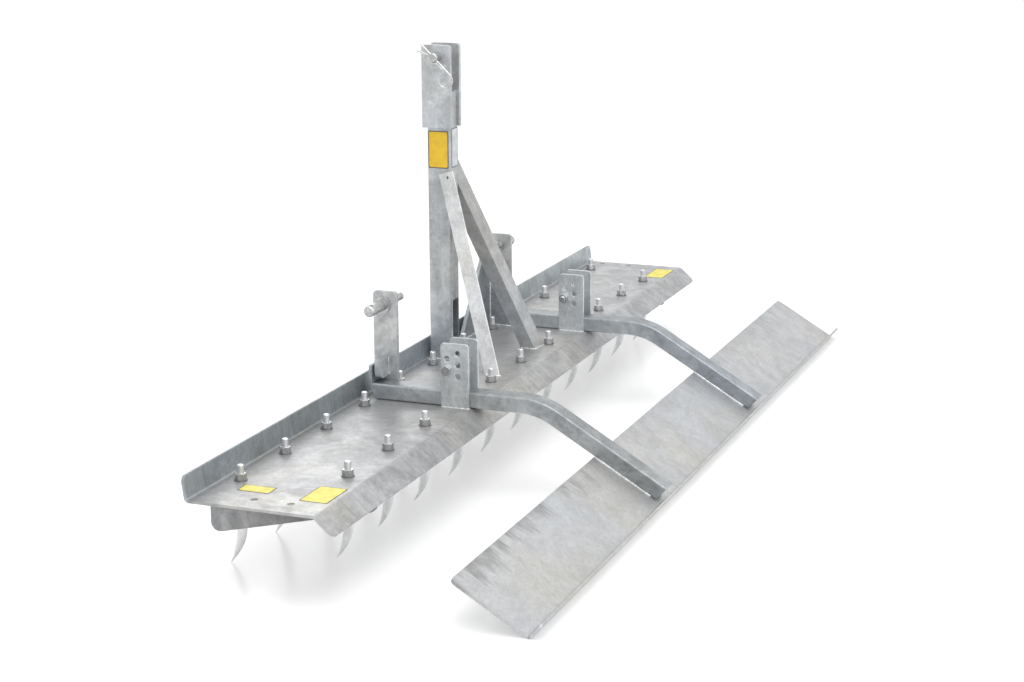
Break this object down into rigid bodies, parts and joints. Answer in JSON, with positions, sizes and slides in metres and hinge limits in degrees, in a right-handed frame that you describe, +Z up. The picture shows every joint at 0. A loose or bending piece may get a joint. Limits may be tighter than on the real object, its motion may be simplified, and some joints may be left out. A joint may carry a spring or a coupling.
{
  "type": "arena leveller",
  "caption": "Three-point arena leveller: a folded tray carrying rows of curved tines, a braced linkage mast, and a floating rear levelling blade on two hinged arms.",
  "frame": {"origin": "centre of the bounding box in X and Y, on the ground that the tines and the blade rest on", "axes": "+X along the tray to the machine's right, +Y forward to the tractor, +Z up"},
  "size_m": [2.142, 0.6606, 0.8266],
  "materials": {
    "galvanised_tray": "hot-dip galvanised, mottled, matt",
    "galvanised_mast": "hot-dip galvanised, smooth, bluish grey",
    "galvanised_bracket": "hot-dip galvanised, satin",
    "galvanised_arm": "hot-dip galvanised, spangled, bluish grey",
    "galvanised_blade": "hot-dip galvanised, streaked, light",
    "tine_steel": "forged, zinc coated, dull",
    "zinc_fastener": "bright zinc plated",
    "pin_steel": "turned, zinc plated",
    "clip_wire": "spring wire, zinc plated"
  },
  "bodies": {
    "tray": {"front_row_tines": "tine_steel", "guide_bolt_left": "zinc_fastener", "guide_bolt_nuts": "zinc_fastener", "guide_bolt_right": "zinc_fastener", "guide_plate_inner_left": "galvanised_bracket", "guide_plate_inner_right": "galvanised_bracket", "guide_plate_outer_left": "galvanised_bracket", "guide_plate_outer_right": "galvanised_bracket", "hook_lug_left": "galvanised_bracket", "hook_lug_right": "galvanised_bracket", "link_gusset_right": "galvanised_bracket", "lower_link_pin_left": "pin_steel", "lower_link_pin_right": "pin_steel", "lower_link_plate_left": "galvanised_bracket", "lower_link_plate_right": "galvanised_bracket", "lower_pin_nuts": "zinc_fastener", "mast_brace_left": "galvanised_mast", "mast_brace_right": "galvanised_mast", "mast_tube": "galvanised_mast", "rear_row_tines": "tine_steel", "side_board_left": "galvanised_tray", "side_board_right": "galvanised_tray", "tine_nuts": "zinc_fastener", "tine_tray": "galvanised_tray", "tine_washers": "zinc_fastener", "top_link_plate_left": "galvanised_bracket", "top_link_plate_right": "galvanised_bracket"},
    "blade_frame": {"levelling_blade": "galvanised_blade", "arm_end_caps": "galvanised_arm", "blade_arm_left": "galvanised_arm", "blade_arm_right": "galvanised_arm", "arm_hook_left": "galvanised_arm", "arm_hook_right": "galvanised_arm"},
    "top_pin": {"top_link_pin": "pin_steel"},
    "clip": {"r_clip": "clip_wire"}
  },
  "joints": [
    {"name": "blade_lift", "type": "hinge", "parent": "tray", "child": "blade_frame", "pos_m": [0, 0.29485, 0.1863], "axis": [1, 0, 0], "range_deg": [-12, 0]},
    {"name": "top_pin_spin", "type": "hinge", "parent": "tray", "child": "top_pin", "pos_m": [0, 0.28685, 0.797], "axis": [1, 0, 0], "continuous": true},
    {"name": "clip_slide", "type": "slide", "parent": "top_pin", "child": "clip", "axis": [0, -0.7193, -0.6947], "range_m": [0, 0.055], "deforming": ["r_clip"]}
  ]
}
